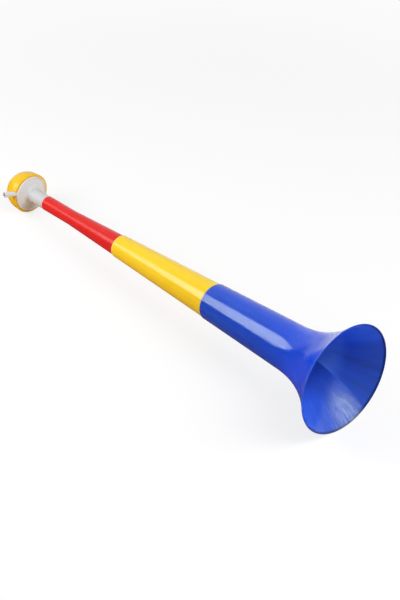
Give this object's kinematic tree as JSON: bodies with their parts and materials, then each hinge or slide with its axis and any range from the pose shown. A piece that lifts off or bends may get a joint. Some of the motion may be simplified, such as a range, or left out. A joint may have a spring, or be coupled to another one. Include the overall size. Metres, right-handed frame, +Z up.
{
  "type": "telescoping fan horn",
  "caption": "Telescoping plastic horn of tapered tubes that slide into a flared bell, with a membrane head, a side tube to blow into and a push-on domed cap.",
  "frame": {"origin": "on the table that the horn lies on, under the middle of its box", "axes": "+X towards the bell, +Z up; the horn's own axis falls about 4 degrees towards the cap, because it rests on the bell's rim and on the domed cap"},
  "size_m": [0.5398, 0.12, 0.1197],
  "materials": {
    "blue_plastic": "glossy moulded plastic, faintly see-through",
    "yellow_plastic": "glossy moulded plastic",
    "red_plastic": "glossy moulded plastic",
    "white_plastic": "satin moulded plastic",
    "film": "thin milky sheet",
    "cap_plastic": "glossy moulded plastic"
  },
  "bodies": {
    "bell": {"bell_section": "blue_plastic"},
    "middle": {"middle_section": "yellow_plastic"},
    "mouth": {"mouth_section": "red_plastic"},
    "head": {"head_body": "white_plastic", "blow_tube": "white_plastic", "diaphragm": "film"},
    "cap": {"dome_cap": "cap_plastic"}
  },
  "joints": [
    {"name": "middle_slide", "type": "slide", "parent": "bell", "child": "middle", "axis": [0.9975, 0, 0.0712], "range_m": [0, 0.1535]},
    {"name": "mouth_slide", "type": "slide", "parent": "middle", "child": "mouth", "axis": [0.9975, 0, 0.0712], "range_m": [0, 0.159]},
    {"name": "head_turn", "type": "hinge", "parent": "mouth", "child": "head", "pos_m": [-0.20763, 0, 0.02608], "axis": [0.9975, 0, 0.0712], "continuous": true},
    {"name": "cap_pull", "type": "slide", "parent": "head", "child": "cap", "axis": [-0.9975, 0, -0.0712], "range_m": [0, 0.02]}
  ]
}
